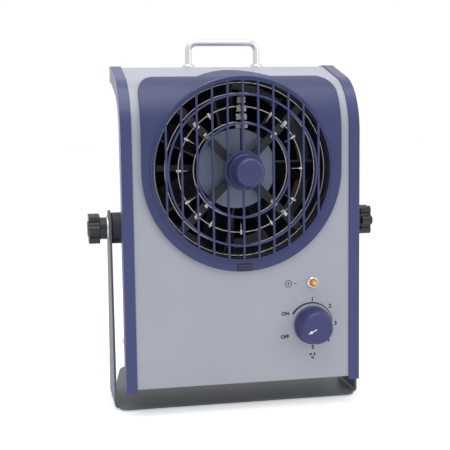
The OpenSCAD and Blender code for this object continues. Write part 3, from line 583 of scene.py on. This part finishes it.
class BLOWER_OT_print_scale(bpy.types.Operator):
    """Prints the dial's arc, numbers, ON and OFF, and the small fan and ion signs"""

    bl_idname = "blower.print_scale"
    bl_label = "Print the dial's scale"

    def on_panel(self, flat, settings):
        """Lays flat points (right, up) on the front sheet, one ink film proud."""
        x, z = flat[..., 0], flat[..., 1]
        return np.stack([x, np.full_like(x, PANEL_Y - settings.film), z], axis=-1)

    def lettering(self, text, centre, height, weight=0.055):
        """Sets text with the middle of its box at centre, and gives back its points and faces."""
        curve = bpy.data.curves.new(f"set_{text}", "FONT")
        curve.body = text
        curve.align_x = "CENTER"
        curve.size = 1.0
        curve.offset = weight
        curve.resolution_u = 4
        holder = bpy.data.objects.new(f"set_{text}", curve)
        bpy.context.scene.collection.objects.link(holder)
        bpy.context.view_layer.update()
        mesh = bpy.data.meshes.new_from_object(holder.evaluated_get(bpy.context.evaluated_depsgraph_get()))
        points = np.zeros(len(mesh.vertices) * 3)
        mesh.vertices.foreach_get("co", points)
        points = points.reshape(-1, 3)[:, :2]
        faces = [list(polygon.vertices) for polygon in mesh.polygons]
        bpy.data.objects.remove(holder)
        bpy.data.curves.remove(curve)
        bpy.data.meshes.remove(mesh)
        low, high = points.min(0), points.max(0)
        scale = height / (high[1] - low[1])
        return (points - (low + high) / 2) * scale + centre, faces

    def arc(self, start, end, radius, width, steps=64):
        """Tapering arc about the dial: radius and width each run evenly from their first to last value."""
        angle = np.linspace(radians(start), radians(end), steps)
        middle_radius = np.linspace(radius[0], radius[1], steps)
        half = np.linspace(width[0], width[1], steps) / 2
        across = np.stack([middle_radius - half, middle_radius + half], axis=1)
        flat = DIAL + np.stack([across * np.cos(angle)[:, None], across * np.sin(angle)[:, None]], axis=-1)
        return flat.reshape(-1, 2), skin(steps, 2).tolist()

    def fan_sign(self, centre, size):
        """Three curved blades: each is a leaf between two arcs, swept round the hub."""
        t = np.linspace(0, 1, 14)
        swell = np.sin(pi * t) ** 0.8
        points, faces = [], []
        for blade in range(3):
            turn = blade * 2 * pi / 3
            angle = turn + np.stack([0.9 * t - 0.62 * swell, 0.9 * t + 0.50 * swell], axis=1)
            radius = (0.18 + 0.82 * t)[:, None] * size
            flat = centre + np.stack([radius * np.cos(angle), radius * np.sin(angle)], axis=-1)
            faces += (skin(14, 2) + 28 * blade).tolist()
            points.append(flat.reshape(-1, 2))
        return np.concatenate(points), faces

    def ion_sign(self, centre, size):
        """A ring with a plus sign, and a bar for the minus beside it."""
        angle = np.linspace(0, 2 * pi, 40, endpoint=False)
        rings = np.stack([np.stack([np.cos(angle), np.sin(angle)], axis=-1) * r for r in (0.82 * size, size)])
        ring_faces = skin(2, 40, wrap=True)
        thick, reach = 0.09 * size, 0.48 * size
        bars = np.array([[-reach, -thick], [reach, -thick], [reach, thick], [-reach, thick],
                         [-thick, thick], [thick, thick], [thick, reach], [-thick, reach],
                         [-thick, -reach], [thick, -reach], [thick, -thick], [-thick, -thick]])
        near, far = 1.5 * size, 2.3 * size
        minus = np.array([[near, -thick], [far, -thick], [far, thick], [near, thick]])
        first_bar = 2 * 40
        faces = ring_faces.tolist() + (first_bar + np.arange(16).reshape(4, 4)).tolist()
        return centre + np.concatenate([rings.reshape(-1, 2), bars, minus]), faces

    def execute(self, context):
        settings = context.scene.blower_print
        ink = Finish("panel_ink", roughness=0.55)
        ink.set(Base_Color=ink.shade(settings.ink, ink.noise(0.0007), 0.25))
        radius = settings.scale_radius
        prints = {"dial_arc": self.arc(150, 8, (radius + 0.0006, radius - 0.0021), (0.0020, 0.0006))}
        for figure, place in FIGURES.items():
            centre = DIAL + np.array(place) / 1000
            prints[f"figure_{figure}"] = self.lettering(figure, centre, settings.figure_height)
        for word, place in WORDS.items():
            centre = DIAL + np.array(place) / 1000
            prints[f"word_{word.lower()}"] = self.lettering(word, centre, settings.word_height)
        prints["fan_sign"] = self.fan_sign(DIAL + np.array([0.0, -0.0292]), 0.0036)
        prints["ion_sign"] = self.ion_sign(LAMP + np.array([-0.0230, -0.0004]), 0.0034)
        for name, (flat, faces) in prints.items():
            points = self.on_panel(np.asarray(flat), settings)
            self.ink_piece(f"printed_{name}", points, faces, ink)
        return {"FINISHED"}

    def ink_piece(self, name, points, faces, ink):
        """One flat skin of ink just off the panel, facing forwards."""
        mesh = bpy.data.meshes.new(name)
        mesh.from_pydata(points.tolist(), [], faces)
        mesh.materials.append(ink.material)
        piece = bpy.data.objects.new(name, mesh)
        bpy.context.scene.collection.objects.link(piece)
        mesh.update()
        normals = np.zeros(len(mesh.polygons) * 3)
        mesh.polygons.foreach_get("normal", normals)
        if normals.reshape(-1, 3)[:, 1].sum() > 0:
            mesh.flip_normals()
        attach(piece, "head")


# ---------- brush ----------

class BLOWER_OT_plant_bristles(bpy.types.Operator):
    """Plants the cleaning brush's bristles in place of its solid tufts"""

    bl_idname = "blower.plant_bristles"
    bl_label = "Plant the brush's bristles"

    def bristles(self, low, high, count, thickness, seed):
        """Bristles fan out from the brush's spine towards the wires and back.

        Roots stand on a small ring round the spine, inside the tuft's box; each tip is its root carried
        outwards along the same direction, with a little spread. Every bristle is a three-sided spike of
        three lengths.
        """
        random = np.random.default_rng(seed)
        centre, half = (low + high) / 2, (high - low) / 2
        angle = random.uniform(0, 2 * pi, count)
        out = np.stack([np.cos(angle) * half[0], np.sin(angle) * half[1]], axis=1)
        root_z = random.uniform(-0.72, 0.72, count) * half[2]
        tip_z = root_z * 1.15 + random.normal(0, 0.06, count) * half[2]
        reach = random.uniform(0.86, 1.0, count)[:, None]
        t = np.linspace(0, 1, 4)[None, :, None]
        flat = out[:, None, :] * (0.18 + (reach[:, None] - 0.18) * t)
        z = root_z[:, None, None] + (np.clip(tip_z, -half[2], half[2]) - root_z)[:, None, None] * t
        axis = np.concatenate([flat, z], axis=2) + centre
        corner = np.linspace(0, 2 * pi, 3, endpoint=False)
        side = np.stack([-np.sin(angle), np.cos(angle), np.zeros(count)], axis=1)
        up = np.array([0.0, 0.0, 1.0])
        offset = side[:, None] * np.cos(corner)[None, :, None] + up * np.sin(corner)[None, :, None]
        slim = thickness / 2 * np.array([1.0, 0.95, 0.85, 0.55])[None, :, None, None]
        points = axis[:, :, None] + slim * offset[:, None]
        faces = skin(4, 3, wrap=True)
        tips = np.array([[9, 10, 11, 11]])
        one = np.concatenate([faces, tips])
        every = (one[None] + 12 * np.arange(count)[:, None, None]).reshape(-1, 4)
        return points.reshape(-1, 3), every

    def execute(self, context):
        settings = context.scene.blower_brush
        nylon = Finish("nylon_bristle", roughness=0.42, Coat_Weight=0.2)
        nylon.set(Base_Color=nylon.shade((0.82, 0.82, 0.80), nylon.noise(0.002, detail=2), 0.10))
        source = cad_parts["brush_tufts"].data
        corners = np.zeros(len(source.vertices) * 3)
        source.vertices.foreach_get("co", corners)
        corners = corners.reshape(-1, 3)
        low, high = corners.min(0), corners.max(0)
        pitch = (high[2] - low[2] + TUFT_GAP) / TUFTS
        points, faces, base = [], [], 0
        for seed in range(TUFTS):
            narrow = np.array([TUFT_NARROWING * seed, 0.0, 0.0])
            bottom = np.array([low[0], low[1], low[2] + seed * pitch]) + narrow
            top = np.array([high[0], high[1], bottom[2] + pitch - TUFT_GAP]) - narrow
            tuft, quads = self.bristles(bottom, top, settings.bristles, settings.thickness, seed)
            points.append(tuft)
            faces.append(quads + base)
            base += len(tuft)
        brush = mesh_piece("brush_bristles", np.concatenate(points), np.concatenate(faces), nylon, "cleaner")
        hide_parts("brush_tufts")
        return {"FINISHED"}


# ---------- stage ----------

class BLOWER_OT_stage(bpy.types.Operator):
    """Sets the floor, the backdrop, the lamps and the camera"""

    bl_idname = "blower.stage"
    bl_label = "Set the stage"

    def floor(self):
        """A pale floor that keeps the blower's shadow and looks white beyond it."""
        corners = [(-1, -1, 0), (1, -1, 0), (1, 1, 0), (-1, 1, 0)]
        points = np.array(corners) * FLOOR_REACH
        mesh = bpy.data.meshes.new("floor")
        mesh.from_pydata(points.tolist(), [], [[0, 1, 2, 3]])
        ground = bpy.data.objects.new("floor", mesh)
        bpy.context.scene.collection.objects.link(ground)
        paper = Finish("floor_paper", roughness=0.9)
        paper.set(Base_Color=(0.82, 0.82, 0.83, 1.0))
        nodes, links = paper.tree.nodes, paper.tree.links
        glow = nodes.new("ShaderNodeEmission")
        glow.inputs["Strength"].default_value = FLOOR_GLOW
        lifted = nodes.new("ShaderNodeAddShader")
        links.new(paper.surface.outputs[0], lifted.inputs[0])
        links.new(glow.outputs[0], lifted.inputs[1])
        choose = nodes.new("ShaderNodeMixShader")
        links.new(self.seen(paper).socket, choose.inputs[0])
        links.new(paper.surface.outputs[0], choose.inputs[1])
        links.new(lifted.outputs[0], choose.inputs[2])
        links.new(choose.outputs[0], nodes["Material Output"].inputs["Surface"])
        mesh.materials.append(paper.material)

    @staticmethod
    def seen(finish):
        """1 for the rays that show a background: the camera's, and those through gloss and glass."""
        path = finish.tree.nodes.new("ShaderNodeLightPath")
        kinds = [Number(finish, path.outputs[name])
                 for name in ("Is Camera Ray", "Is Glossy Ray", "Is Transmission Ray")]
        return (kinds[0] + kinds[1] + kinds[2]) > 0.5

    def world(self, strength):
        """Even light all round, and plain white wherever the camera, gloss or glass sees it."""
        world = bpy.data.worlds.new("studio")
        bpy.context.scene.world = world
        world.use_nodes = True
        sky = Finish.__new__(Finish)
        sky.tree = world.node_tree
        nodes, links = world.node_tree.nodes, world.node_tree.links
        nodes.clear()
        light = nodes.new("ShaderNodeBackground")
        light.inputs["Color"].default_value = (0.95, 0.97, 1.0, 1.0)
        light.inputs["Strength"].default_value = strength
        white = nodes.new("ShaderNodeBackground")
        white.inputs["Color"].default_value = (1.0, 1.0, 1.0, 1.0)
        blend = nodes.new("ShaderNodeMixShader")
        output = nodes.new("ShaderNodeOutputWorld")
        links.new(self.seen(sky).socket, blend.inputs[0])
        links.new(light.outputs[0], blend.inputs[1])
        links.new(white.outputs[0], blend.inputs[2])
        links.new(blend.outputs[0], output.inputs[0])

    def lamp(self, name, place, target, size, power):
        """A square lamp that looks from its place at a target."""
        light = bpy.data.lights.new(name, "AREA")
        light.shape = "RECTANGLE"
        light.size, light.size_y = size
        light.energy = power
        lamp = bpy.data.objects.new(name, light)
        direction = Vector(target) - Vector(place)
        turn = direction.to_track_quat("-Z", "Y").to_matrix().to_4x4()
        lamp.matrix_world = Matrix.Translation(place) @ turn
        bpy.context.scene.collection.objects.link(lamp)

    def camera(self, focal):
        """A camera turned by yaw about Z, tipped down by pitch and rolled about its own line of sight."""
        yaw, pitch, roll = (radians(angle) for angle in CAMERA_TURN)
        ahead = Vector((sin(yaw) * cos(pitch), cos(yaw) * cos(pitch), -sin(pitch)))
        level = ahead.cross(Vector((0, 0, 1))).normalized()
        above = level.cross(ahead)
        right = cos(roll) * level + sin(roll) * above
        up = cos(roll) * above - sin(roll) * level
        lens = bpy.data.cameras.new("camera")
        lens.lens = focal
        lens.sensor_width = 36.0
        lens.clip_start = 0.05
        camera = bpy.data.objects.new("camera", lens)
        turn = Matrix((right, up, -ahead)).transposed().to_4x4()
        camera.matrix_world = Matrix.Translation(CAMERA_PLACE) @ turn
        bpy.context.scene.collection.objects.link(camera)
        bpy.context.scene.camera = camera

    def execute(self, context):
        settings = context.scene.blower_studio
        context.scene.view_settings.view_transform = "Standard"
        self.floor()
        self.world(settings.sky)
        self.lamp("overhead", (-0.15, -0.35, 1.6), (0, 0, 0.2), (1.4, 1.4), settings.key_power)
        self.lamp("side", (1.5, -1.0, 0.9), (0, 0, 0.2), (0.9, 1.4), settings.fill_power)
        self.camera(settings.focal)
        return {"FINISHED"}


# ---------- sidebar ----------

OPERATORS = (BLOWER_OT_stage, BLOWER_OT_enamel, BLOWER_OT_powder_coat, BLOWER_OT_mould,
             BLOWER_OT_plate_metals, BLOWER_OT_fit_lamp, BLOWER_OT_finish_electrics, BLOWER_OT_print_scale,
             BLOWER_OT_plant_bristles)
SETTINGS = {"blower_paint": PaintSettings, "blower_plastic": PlasticSettings, "blower_print": PrintSettings,
            "blower_brush": BrushSettings, "blower_studio": StudioSettings}


class BLOWER_PT_sidebar(bpy.types.Panel):
    """Lists the blower's settings and the steps that dress it"""

    bl_idname = "BLOWER_PT_sidebar"
    bl_label = "Ionizing blower"
    bl_space_type = "VIEW_3D"
    bl_region_type = "UI"
    bl_category = "Blower"

    def draw(self, context):
        for name, group in SETTINGS.items():
            box = self.layout.box()
            for setting in group.__annotations__:
                box.prop(getattr(context.scene, name), setting)
        for operator in OPERATORS:
            self.layout.operator(operator.bl_idname)


def register():
    for cls in (*SETTINGS.values(), *OPERATORS, BLOWER_PT_sidebar):
        bpy.utils.register_class(cls)
    for name, group in SETTINGS.items():
        setattr(bpy.types.Scene, name, PointerProperty(type=group))


def unregister():
    for name in SETTINGS:
        delattr(bpy.types.Scene, name)
    for cls in (BLOWER_PT_sidebar, *reversed(OPERATORS), *reversed(SETTINGS.values())):
        bpy.utils.unregister_class(cls)


def main():
    """Runs every step in order."""
    register()
    for operator in OPERATORS:
        group, name = operator.bl_idname.split(".")
        getattr(getattr(bpy.ops, group), name)()


if __name__ == "__main__":
    main()
